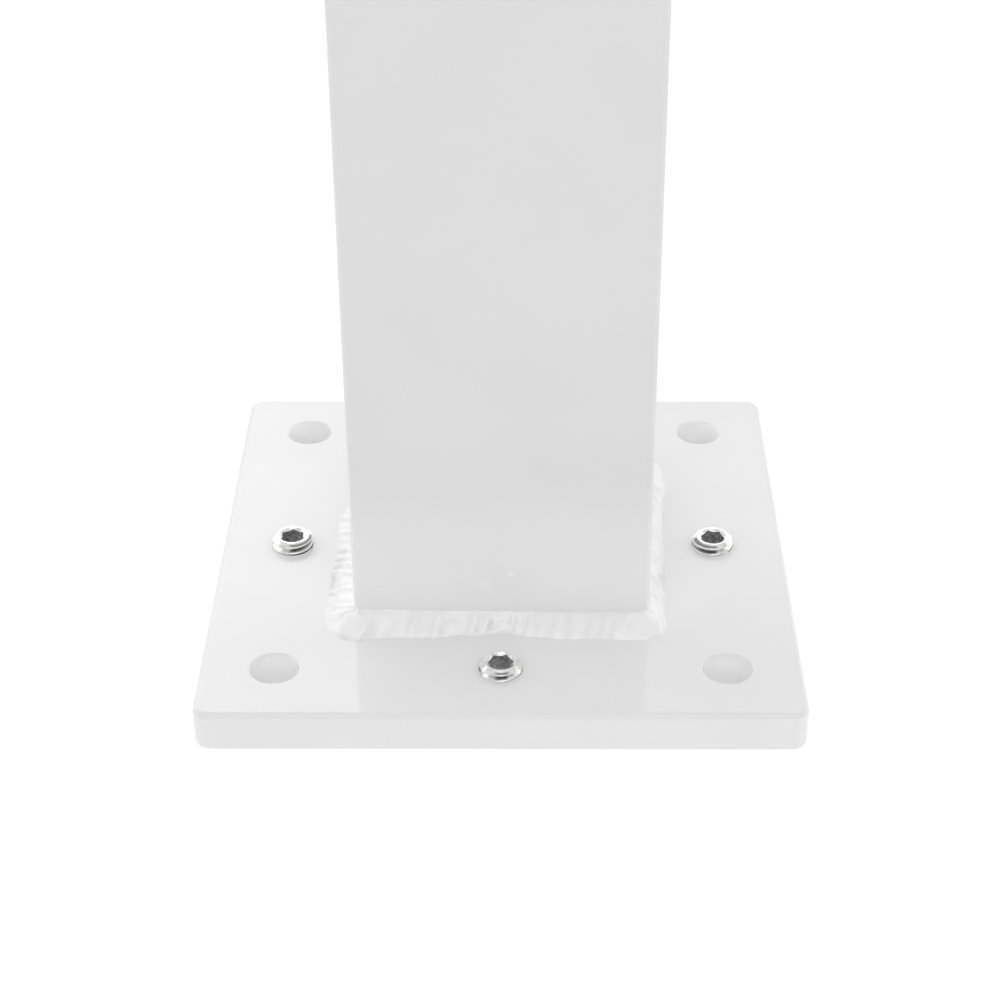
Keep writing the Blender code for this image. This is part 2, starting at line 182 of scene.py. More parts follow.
# The room's lights by heading, each pair from where a light starts to where it is full
BACK_LIGHT_FOOT = (0.42, 0.50)
BACK_LIGHT_HEAD = (0.74, 0.66)
BACK_LIGHT_DEPTH = (0.42, 0.60)
BACK_LIGHT_REACH = 0.30
FRONT_WALL = (0.1, -0.5)
CEILING = (0.60, 0.76)
FRONT_LIGHT_HEADING = (0.0, -0.74, 0.67)
FRONT_LIGHT_SPREAD = (0.72, 0.97)

# The camera as fitted to the photo, with its angles in degrees
CAMERA_PLACE = (4.4 * MM, -426.7 * MM, 298.4 * MM)
CAMERA_HEADING = 0.660
CAMERA_TILT = 56.948
CAMERA_ROLL = -0.342
CAMERA_LENS = 81.448


class PostSizes(PropertyGroup):
    """Sizes of the post's pieces that its solids leave open to finer detail."""

    plate_corner_radius: FloatProperty(
        name="Plate corner radius", description="Radius of the plate's four upright corners",
        default=3.5 * MM, min=0.5 * MM, max=10 * MM, subtype="DISTANCE", unit="LENGTH",
    )
    plate_rim_radius: FloatProperty(
        name="Plate rim radius", description="Radius that the coat gives to the plate's upper and lower rims",
        default=1.2 * MM, min=0.1 * MM, max=4 * MM, subtype="DISTANCE", unit="LENGTH",
    )
    bolt_hole_diameter: FloatProperty(
        name="Bolt hole diameter", description="Bore of the four holes in the plate's corners",
        default=10.32 * MM, min=5 * MM, max=14 * MM, subtype="DISTANCE", unit="LENGTH",
    )
    hole_lip: FloatProperty(
        name="Hole lip", description="Radius of the coated lip at the top of each hole",
        default=0.35 * MM, min=0.1 * MM, max=1 * MM, subtype="DISTANCE", unit="LENGTH",
    )
    tube_wall: FloatProperty(
        name="Tube wall", description="Thickness of the square tube's wall",
        default=2.54 * MM, min=1 * MM, max=6 * MM, subtype="DISTANCE", unit="LENGTH",
    )
    tube_corner_radius: FloatProperty(
        name="Tube corner radius", description="Radius of the tube's outer corners",
        default=1.3 * MM, min=0.3 * MM, max=6 * MM, subtype="DISTANCE", unit="LENGTH",
    )
    tube_inner_radius: FloatProperty(
        name="Tube inner corner radius", description="Radius of the tube's inner corners",
        default=0.8 * MM, min=0.2 * MM, max=3 * MM, subtype="DISTANCE", unit="LENGTH",
    )
    weld_ripple: FloatProperty(
        name="Weld ripple strength", description="How strongly the ripples stand out along the weld's face",
        default=1.0, min=0, max=1.5,
    )
    thread_pitch: FloatProperty(
        name="Thread pitch", description="Distance from one thread to the next on the set screws",
        default=1.5875 * MM, min=0.8 * MM, max=3 * MM, subtype="DISTANCE", unit="LENGTH",
    )
    thread_depth: FloatProperty(
        name="Thread depth", description="Depth of the set screws' thread",
        default=0.9 * MM, min=0.2 * MM, max=1.2 * MM, subtype="DISTANCE", unit="LENGTH",
    )
    socket_across_flats: FloatProperty(
        name="Socket across flats", description="Width of the key that turns the set screws",
        default=4.7625 * MM, min=2 * MM, max=6 * MM, subtype="DISTANCE", unit="LENGTH",
    )
    socket_depth: FloatProperty(
        name="Socket depth", description="Depth of the hexagonal socket in each set screw",
        default=4.5 * MM, min=1 * MM, max=7 * MM, subtype="DISTANCE", unit="LENGTH",
    )
    cap_thickness: FloatProperty(
        name="Cap thickness", description="Thickness of the cap's flange over the tube's end",
        default=3.0 * MM, min=1 * MM, max=8 * MM, subtype="DISTANCE", unit="LENGTH",
    )
    cap_edge_radius: FloatProperty(
        name="Cap edge radius", description="Radius of the cap's upper edge",
        default=0.8 * MM, min=0.2 * MM, max=2 * MM, subtype="DISTANCE", unit="LENGTH",
    )
    plug_depth: FloatProperty(
        name="Plug depth", description="How far the cap's plug reaches down into the tube",
        default=14 * MM, min=4 * MM, max=40 * MM, subtype="DISTANCE", unit="LENGTH",
    )
    plug_wall: FloatProperty(
        name="Plug wall", description="Thickness of the plug's wall",
        default=2 * MM, min=1 * MM, max=6 * MM, subtype="DISTANCE", unit="LENGTH",
    )


class PostFinish(PropertyGroup):
    """Colours and textures of the powder coat and the stainless screws, with lighter and darker copies of the
    coat that paint light and shade.
    """

    coat_colour: FloatVectorProperty(
        name="Coat colour", description="Colour of the white powder coat",
        default=(0.85, 0.85, 0.85), min=0, max=1, size=3, subtype="COLOR",
    )
    # Painted shade: a darker copy of the coat, for the tube, the cap and the bore walls
    shaded_coat_colour: FloatVectorProperty(
        name="Thin coat colour", description="Colour of the coat on the tube and the cap",
        default=(0.79, 0.79, 0.79), min=0, max=1, size=3, subtype="COLOR",
    )
    # Painted light: a lighter copy of the coat, for the weld
    lit_weld_coat_colour: FloatVectorProperty(
        name="Weld coat colour", description="Colour of the coat over the weld",
        default=(0.95, 0.95, 0.95), min=0, max=1, size=3, subtype="COLOR",
    )
    # Painted light: a lighter copy of the coat, for the tube's foot and the tops of the bores
    lit_coat_colour: FloatVectorProperty(
        name="Thick coat colour",
        description="Colour of the coat where it lies thick, round the foot and in the bores",
        default=(0.98, 0.98, 0.98), min=0, max=1, size=3, subtype="COLOR",
    )
    coat_roughness: FloatProperty(
        name="Coat roughness", description="Roughness of the coat where it has flowed out best",
        default=0.05, min=0, max=1, subtype="FACTOR",
    )
    coat_peel: FloatProperty(
        name="Coat ripple height", description="Height of the faint waves that the coat sets with",
        default=0.003 * MM, min=0, max=0.05 * MM, subtype="DISTANCE", unit="LENGTH", precision=6,
    )
    steel_colour: FloatVectorProperty(
        name="Steel colour", description="Colour of the bright stainless set screws",
        default=(0.92, 0.92, 0.915), min=0, max=1, size=3, subtype="COLOR",
    )
    steel_roughness: FloatProperty(
        name="Steel roughness", description="Roughness of the screws' turned faces",
        default=0.16, min=0, max=1, subtype="FACTOR",
    )
    # A darker, mottled colour of the steel inside the sockets
    socket_colour: FloatVectorProperty(
        name="Socket colour", description="Colour of the oily film inside the broached sockets",
        default=(0.80, 0.80, 0.80), min=0, max=1, size=3, subtype="COLOR",
    )
    # Painted shade: the dark colour in the thread grooves on one side of each screw
    groove_shade_colour: FloatVectorProperty(
        name="Groove colour", description="Colour of the dark film that the threads hold in their grooves",
        default=(0.30, 0.30, 0.30), min=0, max=1, size=3, subtype="COLOR",
    )


class StudioLook(PropertyGroup):
    """The white room that the post stands in."""

    floor_brightness: FloatProperty(
        name="Floor brightness", description="How brightly the floor glows, where 1 is paper white",
        default=1.05, min=0, max=3,
    )
    room_brightness: FloatProperty(
        name="Room brightness", description="Light from the walls behind and beside the post",
        default=1.25, min=0, max=3,
    )
    front_wall_brightness: FloatProperty(
        name="Front wall brightness", description="Light from the wall behind the camera",
        default=0.15, min=0, max=3,
    )
    front_light: FloatProperty(
        name="Front light", description="Brightness of the broad soft light over the camera",
        default=1.04, min=0, max=10,
    )
    ceiling_brightness: FloatProperty(
        name="Ceiling brightness", description="Light from the white ceiling",
        default=0.70, min=0, max=3,
    )
    back_light_left: FloatProperty(
        name="Back light, left", description="Brightness of the left end of the long light behind the post",
        default=2.33, min=0, max=10,
    )
    back_light_right: FloatProperty(
        name="Back light, right", description="Brightness of the right end of the long light behind the post",
        default=0.86, min=0, max=10,
    )
    floor_radius: FloatProperty(
        name="Floor radius", description="Radius of the round floor",
        default=9.0, min=1, max=50, subtype="DISTANCE", unit="LENGTH",
    )
    floor_sides: IntProperty(
        name="Floor sides", description="Number of sides of the round floor",
        default=96, min=12, max=512,
    )


# Meshes

def mesh_from(bm, name):
    """A new mesh from a bmesh, which is freed."""
    mesh = bpy.data.meshes.new(name)
    bm.to_mesh(mesh)
    bm.free()
    return mesh


def shade_round(mesh, sharp_degrees=35):
    """Shades the mesh smooth, apart from edges sharper than the angle."""
    mesh.shade_smooth()
    mesh.set_sharp_from_angle(angle=math.radians(sharp_degrees))


def add_object(name, data):
    """A new object in the scene."""
    made = bpy.data.objects.new(name, data)
    bpy.context.scene.collection.objects.link(made)
    return made


def add_piece(name, mesh, material, solid):
    """A finished piece that rides on the post and stands for its solid."""
    mesh.materials.clear()
    mesh.materials.append(material)
    piece = add_object(name, mesh)
    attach(piece, "root")
    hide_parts(solid)
    return piece


def keep_faces_flat(piece):
    """Shades the broad faces flat between their rounded edges."""
    piece.modifiers.new("flat_faces", "WEIGHTED_NORMAL").keep_sharp = True


def cut_mesh(mesh, cuts):
    """The mesh after a row of (operation, bmesh) cuts."""
    blank = add_object("blank", mesh)
    helpers = [blank]
    for operation, bm in cuts:
        helper = add_object("cutter", mesh_from(bm, "cutter"))
        helpers.append(helper)
        modifier = blank.modifiers.new("cut", "BOOLEAN")
        modifier.operation = operation
        modifier.object = helper
        modifier.solver = "EXACT"
    graph = bpy.context.evaluated_depsgraph_get()
    result = bpy.data.meshes.new_from_object(blank.evaluated_get(graph))
    for helper in helpers:
        spent = helper.data
        bpy.data.objects.remove(helper)
        bpy.data.meshes.remove(spent)
    if not result.polygons:
        raise RuntimeError("a cut left nothing of its piece")
    return result


def block(half_x, half_y, low, high, radius, steps):
    """A block on the Z axis with rounded upright edges."""
    bm = bmesh.new()
    placing = Matrix.Translation((0, 0, (low + high) / 2))
    scaling = Matrix.Diagonal((2 * half_x, 2 * half_y, high - low, 1))
    bmesh.ops.create_cube(bm, size=1, matrix=placing @ scaling)
    upright = [e for e in bm.edges if abs(e.verts[0].co.z - e.verts[1].co.z) > MERGE_DISTANCE]
    round_edges(bm, upright, radius, steps)
    return bm


def round_edges(bm, edges, radius, steps):
    bmesh.ops.bevel(
        bm, geom=edges, offset=radius, offset_type="OFFSET", segments=steps, profile=0.5, affect="EDGES",
        material=-1,
    )


def rim_edges(bm, height):
    """The edges that lie at one height."""
    return [e for e in bm.edges if all(abs(v.co.z - height) < MERGE_DISTANCE for v in e.verts)]


def turned(profile, steps, centre=(0, 0)):
    """A solid turned about an upright axis from (radius, height) points, from its top to its bottom."""
    bm = bmesh.new()
    corners = [bm.verts.new((radius, 0, height)) for radius, height in profile]
    edges = [bm.edges.new(pair) for pair in zip(corners, corners[1:])]
    bmesh.ops.spin(
        bm, geom=corners + edges, cent=(0, 0, 0), axis=(0, 0, 1), angle=math.tau, steps=steps, use_merge=True
    )
    bmesh.ops.remove_doubles(bm, verts=bm.verts, dist=MERGE_DISTANCE)
    bmesh.ops.recalc_face_normals(bm, faces=bm.faces)
    bmesh.ops.translate(bm, verts=bm.verts, vec=(centre[0], centre[1], 0))
    return bm


def hole(radius, lip, centre):
    """The space of a bore through the plate, with a rounded upper lip and a broken lower edge."""
    profile = [(0, PLATE_TOP + OVERSHOOT), (radius + lip, PLATE_TOP + OVERSHOOT)]
    for step in range(LIP_STEPS + 1):
        turn = step / LIP_STEPS * math.pi / 2
        profile.append((radius + lip * (1 - math.sin(turn)), PLATE_TOP - lip * (1 - math.cos(turn))))
    profile += [(radius, lip), (radius + lip, 0), (radius + lip, -OVERSHOOT), (0, -OVERSHOOT)]
    return turned(profile, HOLE_SIDES, centre)


def build_base_plate(sizes, finish):
    """The plate with its rounded rims, a bolt hole in each corner and a screw hole on each side."""
    half = PLATE_HIGH.x
    bm = block(half, half, PLATE_LOW.z, PLATE_TOP, sizes.plate_corner_radius, PLATE_CORNER_STEPS)
    for height in (PLATE_TOP, PLATE_LOW.z):
        round_edges(bm, rim_edges(bm, height), sizes.plate_rim_radius, RIM_STEPS)
    cuts = []
    for across in (-1, 1):
        for along in (-1, 1):
            centre = (across * HOLE_LINE, along * HOLE_LINE)
            cuts.append(("DIFFERENCE", hole(sizes.bolt_hole_diameter / 2, sizes.hole_lip, centre)))
    for side in SCREW_SIDES:
        centre, _, _ = screw_place(side)
        cuts.append(("DIFFERENCE", hole(SCREW_RADIUS + SCREW_HOLE_GAP, SCREW_HOLE_LIP, centre)))
    mesh = cut_mesh(mesh_from(bm, "coated_plate"), cuts)
    shade_round(mesh)
    material = powder_coat("plate_coat", finish, finish.coat_colour)
    # Painted light on the upper bore walls, and darker lower bore walls
    paint_bore_tones(material, finish, sizes)
    piece = add_piece("coated_plate", mesh, material, "base_plate")
    keep_faces_flat(piece)


def build_post_tube(sizes, finish):
    """Two rounded blocks without ends, one inside the other, joined at their rims."""
    low, high = PLATE_TOP + SINK, TUBE_HIGH.z
    inner_half = TUBE_HALF - sizes.tube_wall
    bm = block(TUBE_HALF, TUBE_HALF, low, high, sizes.tube_corner_radius, TUBE_CORNER_STEPS)
    inner = block(inner_half, inner_half, low, high, sizes.tube_inner_radius, TUBE_CORNER_STEPS)
    bore = mesh_from(inner, "tube_bore")
    bm.from_mesh(bore)
    bpy.data.meshes.remove(bore)
    ends = [f for f in bm.faces if abs(f.normal.z) > 0.9]
    bmesh.ops.delete(bm, geom=ends, context="FACES_ONLY")
    for height in (low, high):
        bmesh.ops.bridge_loops(bm, edges=rim_edges(bm, height))
    bmesh.ops.recalc_face_normals(bm, faces=bm.faces)
    mesh = mesh_from(bm, "coated_tube")
    shade_round(mesh)
    # Painted shade: the tube takes the darker copy of the coat, and painted light lifts its foot
    material = powder_coat("tube_coat", finish, finish.shaded_coat_colour)
    paint_foot_light(material, finish)
    add_spatter_and_highlights(material)
    piece = add_piece("coated_tube", mesh, material, "post_tube")
    keep_faces_flat(piece)


def build_post_cap(sizes, finish):
    """A flat flange over the tube's end, with a hollow plug that reaches down into it."""
    flange_low = CAP_HIGH.z - sizes.cap_thickness
    bm = block(TUBE_HALF, TUBE_HALF, flange_low, CAP_HIGH.z, sizes.tube_corner_radius, TUBE_CORNER_STEPS)
    round_edges(bm, rim_edges(bm, CAP_HIGH.z), sizes.cap_edge_radius, RIM_STEPS)
    plug_half = TUBE_HALF - sizes.tube_wall - PLUG_GAP
    plug_low = flange_low - sizes.plug_depth
    plug_high = flange_low + sizes.cap_thickness / 2
    plug = block(plug_half, plug_half, plug_low, plug_high, sizes.tube_inner_radius, PLUG_CORNER_STEPS)
    inner_half = plug_half - sizes.plug_wall
    inner_low = plug_low - OVERSHOOT
    hollow = block(inner_half, inner_half, inner_low, flange_low, sizes.tube_inner_radius, PLUG_CORNER_STEPS)
    mesh = cut_mesh(mesh_from(bm, "coated_cap"), [("UNION", plug), ("DIFFERENCE", hollow)])
    shade_round(mesh)
    # Painted shade: the cap takes the darker copy of the coat
    material = powder_coat("cap_coat", finish, finish.shaded_coat_colour)
    piece = add_piece("coated_cap", mesh, material, "post_cap")
    keep_faces_flat(piece)


# Weld

def eased(start, end, share):
    """The value at a share of the way from one to another, flat at both ends."""
    return start + (end - start) * (1 - math.cos(share * math.pi)) / 2


def eased_along(values, share):
    """The value at a share of the way along a row of evenly spaced ones."""
    position = share * (len(values) - 1)
    index = min(int(position), len(values) - 2)
    return eased(values[index], values[index + 1], position - index)


class WeldRing:
    """The run of the bead round the tube's foot, as four quarters that each follow a side and a corner."""

    def __init__(self, sizes):
        self.radius = sizes.tube_corner_radius
        self.straight = 2 * (TUBE_HALF - self.radius)
        self.arc = math.pi / 2 * (self.radius + 2.5 * MM)
        self.quarter = self.straight + self.arc
        self.length = 4 * self.quarter
        self.counts = [round(self.quarter / run.pitch) for run in WELD_RUNS]

    def split(self, distance):
        """The quarter that a distance round the ring falls in, and the distance along it."""
        turns, along = divmod(distance % self.length, self.quarter)
        return min(int(turns), 3), along

    def wander(self, distance, curve, change=0.0):
        """The value of a seamless random curve round the ring, which changes with its key."""
        turn = distance / self.length * math.tau
        size = self.length / math.tau / curve.width
        place = Vector((math.cos(turn) * size, math.sin(turn) * size, curve.key + change))
        return curve.amount * noise.noise(place)

    def phase(self, distance):
        """How many ripples lie between the ring's start and a distance, with a little unevenness."""
        quarter, along = self.split(distance)
        steady = sum(self.counts[:quarter]) + along / self.quarter * self.counts[quarter]
        return steady + self.wander(distance, PHASE_WANDER)

    def leg(self, distance, name):
        """The bead's leg on the plate or on the tube."""
        quarter, along = self.split(distance)
        values = getattr(WELD_RUNS[quarter], name)
        if along < self.straight:
            return eased_along(values, along / self.straight) * MM
        onward = getattr(WELD_RUNS[(quarter + 1) % 4], name)[0]
        return eased(values[-1], onward, (along - self.straight) / self.arc) * MM

    def blended(self, distance, name):
        """A ripple value of the quarter, easing into the next quarter's along its corner."""
        quarter, along = self.split(distance)
        share = max(0.0, along - self.straight) / self.arc
        return eased(getattr(WELD_RUNS[quarter], name), getattr(WELD_RUNS[(quarter + 1) % 4], name), share)

    def place(self, distance, offset, height):
        """A point at a distance round the ring, an offset out from the tube and a height over the plate."""
        quarter, along = self.split(distance)
        turn = max(0.0, along - self.straight) / self.arc * math.pi / 2
        corner = Vector((self.straight / 2, min(along, self.straight) - self.straight / 2))
        out = Vector((math.cos(turn), math.sin(turn)))
        flat = Matrix.Rotation(quarter * math.pi / 2, 2) @ (corner + out * (self.radius + offset))
        return Vector((flat.x, flat.y, PLATE_TOP + height))


def ripple(phase, softness):
    """One frozen ripple of the weld pool, from 0 to 1, steeper where it starts unless it is soft."""
    return math.sin(math.pi * (phase % 1) ** min(1.0, 0.75 * softness)) ** softness


def own_strength(ripple_number):
    """How strongly one ripple stands out beside its neighbours, from about 0.6 to 1.4."""
    return 1 + 0.9 * noise.noise(Vector((7.31 * ripple_number, 0.5, 2.5)))


def stop_at(point):
    """The height that a puddle adds at a point of the bead, how far it floods the ripples, and its rim."""
    for middle, radius, height in WELD_STOPS:
        away = math.hypot(point.x - middle[0], point.y - middle[1]) / radius
        away *= 1 + STOP_UNEVENNESS * noise.noise(point / STOP_WAVE)
        if away < 1:
            flooded = math.sqrt(1 - away * away)
            rim = math.sin(math.pi * max(0.0, (away - STOP_RIM) / (1 - STOP_RIM))) ** 2
            return height * (flooded + STOP_RIM_HEIGHT * rim), flooded, rim
    return 0.0, 0.0, 0.0


def weld_point(ring, sizes, distance, up):
    """A point of the bead's face, at a share of the way up, and the strength of the painted highlight there,
    greatest on crests.
    """
    across = 4 * up * (1 - up)
    phase = ring.phase(distance) % sum(ring.counts)
    hump = ripple(phase, ring.blended(distance, "softness")) * own_strength(math.floor(phase))
    hump *= ring.blended(distance, "height") * sizes.weld_ripple
    lumps = ring.wander(distance, BROAD_LUMPS, BROAD_LUMPS_CHANGE * up)
    lumps += ring.wander(distance, FINE_LUMPS, FINE_LUMPS_CHANGE * up)
    bow = ring.blended(distance, "bow") * (1 + ring.wander(distance, BOW_WANDER))
    placed = distance + bow * across + ring.blended(distance, "lean") * (up - 0.5)
    reach = ring.leg(placed, "reaches") + ring.wander(distance, REACH_WANDER)
    rise = ring.leg(placed, "rises") + ring.wander(distance, RISE_WANDER)
    puddle, flooded, rim = stop_at(ring.place(placed, reach * (1 - up), rise * up))
    hump *= 1 - 0.9 * flooded
    reach += 0.25 * hump
    rise += 0.3 * hump
    power = math.log(0.5) / math.log(ring.blended(distance, "peak"))
    standing = 0.1 + 0.9 * math.sin(math.pi * up ** power)
    relief = (hump + lumps) * standing
    swell = ring.blended(distance, "bulge") * across + relief + puddle
    offset = reach * (1 - up) + 0.6 * swell * min(1, 8 * (1 - up))
    height = rise * up + swell * min(1, 8 * up)
    point = ring.place(placed, offset - SINK * up, height - SINK * (1 - up))
    # Painted highlight: strongest on the ripples' crests, across the face's middle, on the puddles and their
    # rims
    crest = relief / HIGHLIGHT_RELIEF + 0.3 * across + 0.3 * flooded + 0.5 * rim
    return point, max(0.0, min(1.0, crest))


def build_weld_bead(sizes, finish):
    """A strip bent round the tube's foot, whose first and last rows meet in the hidden inner corner."""
    ring = WeldRing(sizes)
    slices = sum(ring.counts) * SLICES_PER_RIPPLE
    rows = WELD_FACE_STEPS + 2
    bm = bmesh.new()
    # Each point keeps the strength of its painted highlight in this layer
    crest = bm.verts.layers.float.new(CREST_HIGHLIGHT_LAYER)
    bmesh.ops.create_grid(bm, x_segments=slices, y_segments=rows, size=0.5)
    for vert in bm.verts:
        distance = (vert.co.x + 0.5) * ring.length
        row = round((vert.co.y + 0.5) * rows)
        if row in (0, rows):
            vert.co = ring.place(distance, -SINK, -SINK)
        else:
            vert.co, vert[crest] = weld_point(ring, sizes, distance, (row - 1) / WELD_FACE_STEPS)
    bmesh.ops.remove_doubles(bm, verts=bm.verts, dist=MERGE_DISTANCE)
    bmesh.ops.recalc_face_normals(bm, faces=bm.faces)
    mesh = mesh_from(bm, "rippled_weld")
    shade_round(mesh, 60)
    # Painted light: the weld takes the lighter copy of the coat
    material = powder_coat("weld_coat", finish, finish.lit_weld_coat_colour)
    paint_crest_highlights(material)
    add_piece("rippled_weld", mesh, material, "weld_bead")


# Set screws

def screw_place(side):
    """A set screw's centre and its lowest and highest heights, from its solid."""
    low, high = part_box(f"leveling_screw_{side}")
    centre = (round((low.x + high.x) / 2, 6), round((low.y + high.y) / 2, 6))
    return centre, low.z, high.z


def threaded_rod(length, radius, pitch, depth, thread_turn):
    """A rod standing on the origin with a right-hand thread, cut off square at both ends."""
    crest = THREAD_CREST
    flank = (pitch - crest - THREAD_ROOT) / 2
    turns = math.ceil(length / pitch) + 2
    top = (turns - 1) * pitch
    bm = bmesh.new()
    corners = []
    for turn in range(turns):
        start = top - turn * pitch
        for drop, out in ((0, radius - depth), (flank, radius), (flank + crest, radius),
                          (2 * flank + crest, radius - depth)):
            corners.append(bm.verts.new((out, 0, start - drop)))
    corners.append(bm.verts.new((radius - depth, 0, top - turns * pitch)))
    edges = [bm.edges.new(pair) for pair in zip(corners, corners[1:])]
    bmesh.ops.spin(
        bm, geom=corners + edges, cent=(0, 0, 0), axis=(0, 0, 1), dvec=(0, 0, pitch / THREAD_STEPS),
        angle=math.tau, steps=THREAD_STEPS,
    )
    bmesh.ops.remove_doubles(bm, verts=bm.verts, dist=MERGE_DISTANCE)
    bmesh.ops.rotate(bm, verts=bm.verts, cent=(0, 0, 0), matrix=Matrix.Rotation(thread_turn, 3, "Z"))
    for height, facing in ((0, -1), (length, 1)):
        bmesh.ops.bisect_plane(
            bm, geom=bm.verts[:] + bm.edges[:] + bm.faces[:], dist=MERGE_DISTANCE,
            plane_co=(0, 0, height), plane_no=(0, 0, facing), clear_outer=True,
        )
        bmesh.ops.edgeloop_fill(bm, edges=[e for e in rim_edges(bm, height) if e.is_boundary])
    bmesh.ops.recalc_face_normals(bm, faces=bm.faces)
    return bm


def set_screw_mesh(sizes, side):
    """A set screw in its hole, with its socket open upwards, turned as the photo shows it."""
    centre, low, high = screw_place(side)
    turn = SCREW_TURNS[side]
    length = high - low
    wide, narrow = SCREW_RADIUS + CHAMFER_WIDTH, SCREW_RADIUS - CHAMFER_WIDTH
    envelope = turned(
        [(0, length), (narrow - END_RIM_WIDTH, length), (narrow, length - END_RIM_DROP),
         (wide, length - 2 * CHAMFER_DROP), (wide, 2 * CHAMFER_DROP), (narrow, 0), (0, 0)], SCREW_END_SIDES,
    )
    corner_radius = sizes.socket_across_flats / math.sqrt(3)
    bottom = length - sizes.socket_depth
    socket = bmesh.new()
    height = sizes.socket_depth + OVERSHOOT
    bmesh.ops.create_cone(
        socket, cap_ends=True, segments=6, radius1=corner_radius, radius2=corner_radius, depth=height,
        matrix=Matrix.Translation((0, 0, bottom + height / 2))
        @ Matrix.Rotation(math.radians(turn.socket_bearing + 30), 4, "Z"),
    )
    mouth = corner_radius + LEAD_IN_WIDTH
    flat = sizes.socket_across_flats / 2
    slope = (mouth - flat) / LEAD_IN_DEPTH
    lead_in = turned(
        [(0, length + OVERSHOOT), (mouth + slope * OVERSHOOT, length + OVERSHOOT), (mouth, length),
         (flat, length - LEAD_IN_DEPTH), (0, length - LEAD_IN_DEPTH)], SCREW_END_SIDES,
    )
    drill = flat * DRILL_SHARE
    drill_point = turned(
        [(0, bottom + DRILL_START), (drill, bottom + DRILL_START), (drill, bottom),
         (0, bottom - DRILL_DEPTH)], DRILL_SIDES,
    )
    rise = PLATE_TOP + turn.groove_height - low - THREAD_ROOT / 2
    thread_turn = -math.pi / 2 - math.tau * rise / sizes.thread_pitch
    rod = threaded_rod(length, SCREW_RADIUS, sizes.thread_pitch, sizes.thread_depth, thread_turn)
    cuts = [("INTERSECT", envelope), ("DIFFERENCE", socket), ("DIFFERENCE", lead_in),
            ("DIFFERENCE", drill_point)]
    mesh = cut_mesh(mesh_from(rod, f"set_screw_{side}"), cuts)
    mesh.transform(Matrix.Translation((*centre, low)))
    return mesh


def build_set_screws(sizes, finish):
    """The same screw four times, each in its own hole and turned in by its own amount."""
    for side in SCREW_SIDES:
        mesh = set_screw_mesh(sizes, side)
        shade_round(mesh, 30)
        material = bright_stainless(f"screw_steel_{side}", finish, sizes, side)
        piece = add_piece(f"set_screw_{side}", mesh, material, f"leveling_screw_{side}")
        keep_faces_flat(piece)


# Materials

def node(tree, kind, inputs=(), **settings):
    """A shader node with its settings, and its inputs as links or values."""
    made = tree.nodes.new(kind)
    for name, value in settings.items():
        setattr(made, name, value)
    for name, value in dict(inputs).items():
        if isinstance(value, bpy.types.NodeSocket):
            tree.links.new(value, made.inputs[name])
        else:
            made.inputs[name].default_value = value
    return made


def calc(tree, operation, first, second=0.0, third=0.0):
    """The output of a Math node."""
    return node(tree, "ShaderNodeMath", {0: first, 1: second, 2: third}, operation=operation).outputs[0]


def mix(tree, factor, first, second, data_type="RGBA"):
    """The output of a Mix node, for colours unless told otherwise."""
    inputs = {"Factor": factor, "A": first, "B": second}
    return node(tree, "ShaderNodeMix", inputs, data_type=data_type).outputs["Result"]


def on_object(tree):
    """The place on the piece, in metres."""
    return node(tree, "ShaderNodeTexCoord").outputs["Object"]


def distance_to(tree, place, point):
    """The distance from a place to a fixed point."""
    return node(tree, "ShaderNodeVectorMath", {0: place, 1: point}, operation="DISTANCE").outputs["Value"]


def ramp(tree, value, low, high, to_low=0.0, to_high=1.0):
    """The value taken smoothly from one range to another, and held beyond its ends."""
    made = node(
        tree, "ShaderNodeMapRange",
        {"Value": value, "From Min": low, "From Max": high, "To Min": to_low, "To Max": to_high},
        interpolation_type="SMOOTHSTEP",
    )
    return made.outputs["Result"]


def noise_value(tree, place, feature, detail=2.0, offset=0.0):
    """Noise whose features are about as wide as the given length."""
    source = node(
        tree, "ShaderNodeMapping", {"Vector": place, "Location": (offset, offset, offset)}
    ).outputs["Vector"]
    inputs = {"Vector": source, "Scale": 1 / feature, "Detail": detail, "Roughness": 0.5}
    return node(tree, "ShaderNodeTexNoise", inputs).outputs["Fac"]


def principled(material):
    """The material's node tree and its shader."""
    material.use_nodes = True
    return material.node_tree, material.node_tree.nodes["Principled BSDF"]


def powder_coat(name, finish, coat_colour):
    """Glossy white powder coat: a shade of cloudiness, a gloss that varies a little, and faint set waves."""
    material = bpy.data.materials.new(name)
    tree, shader = principled(material)
    place = on_object(tree)
    colour = Vector(coat_colour)
    clouds = noise_value(tree, place, 28 * MM, 3)
    grain = noise_value(tree, place, 0.7 * MM, 2, 0.3)
    mixed = calc(tree, "MULTIPLY_ADD", clouds, 0.8, calc(tree, "MULTIPLY", grain, 0.2))
    tint = mix(tree, ramp(tree, mixed, 0.3, 0.7), (*(colour * 0.985), 1), (*(colour * 1.012), 1))
    tree.links.new(tint, shader.inputs["Base Color"])
    rough = ramp(tree, noise_value(tree, place, 9 * MM, 3, 0.7), 0.3, 0.7, finish.coat_roughness,
                 finish.coat_roughness + 0.035)
    tree.links.new(rough, shader.inputs["Roughness"])
    waves = calc(
        tree, "MULTIPLY_ADD", noise_value(tree, place, 2.4 * MM, 1, 0.1), 0.35,
        calc(tree, "MULTIPLY", noise_value(tree, place, 7 * MM, 1, 0.5), 1.0),
    )
    bump = node(
        tree, "ShaderNodeBump", {"Strength": 1.0, "Distance": finish.coat_peel, "Height": waves},
        name="set_waves",
    )
    tree.links.new(bump.outputs["Normal"], shader.inputs["Normal"])
    shader.inputs["IOR"].default_value = 1.5
    return material


def paint_tone_over(tree, shader, mask, colour):
    """Mixes a colour of painted light or shade over the material's own where the mask says."""
    own = shader.inputs["Base Color"].links[0].from_socket
    tree.links.new(mix(tree, mask, own, (*colour, 1)), shader.inputs["Base Color"])


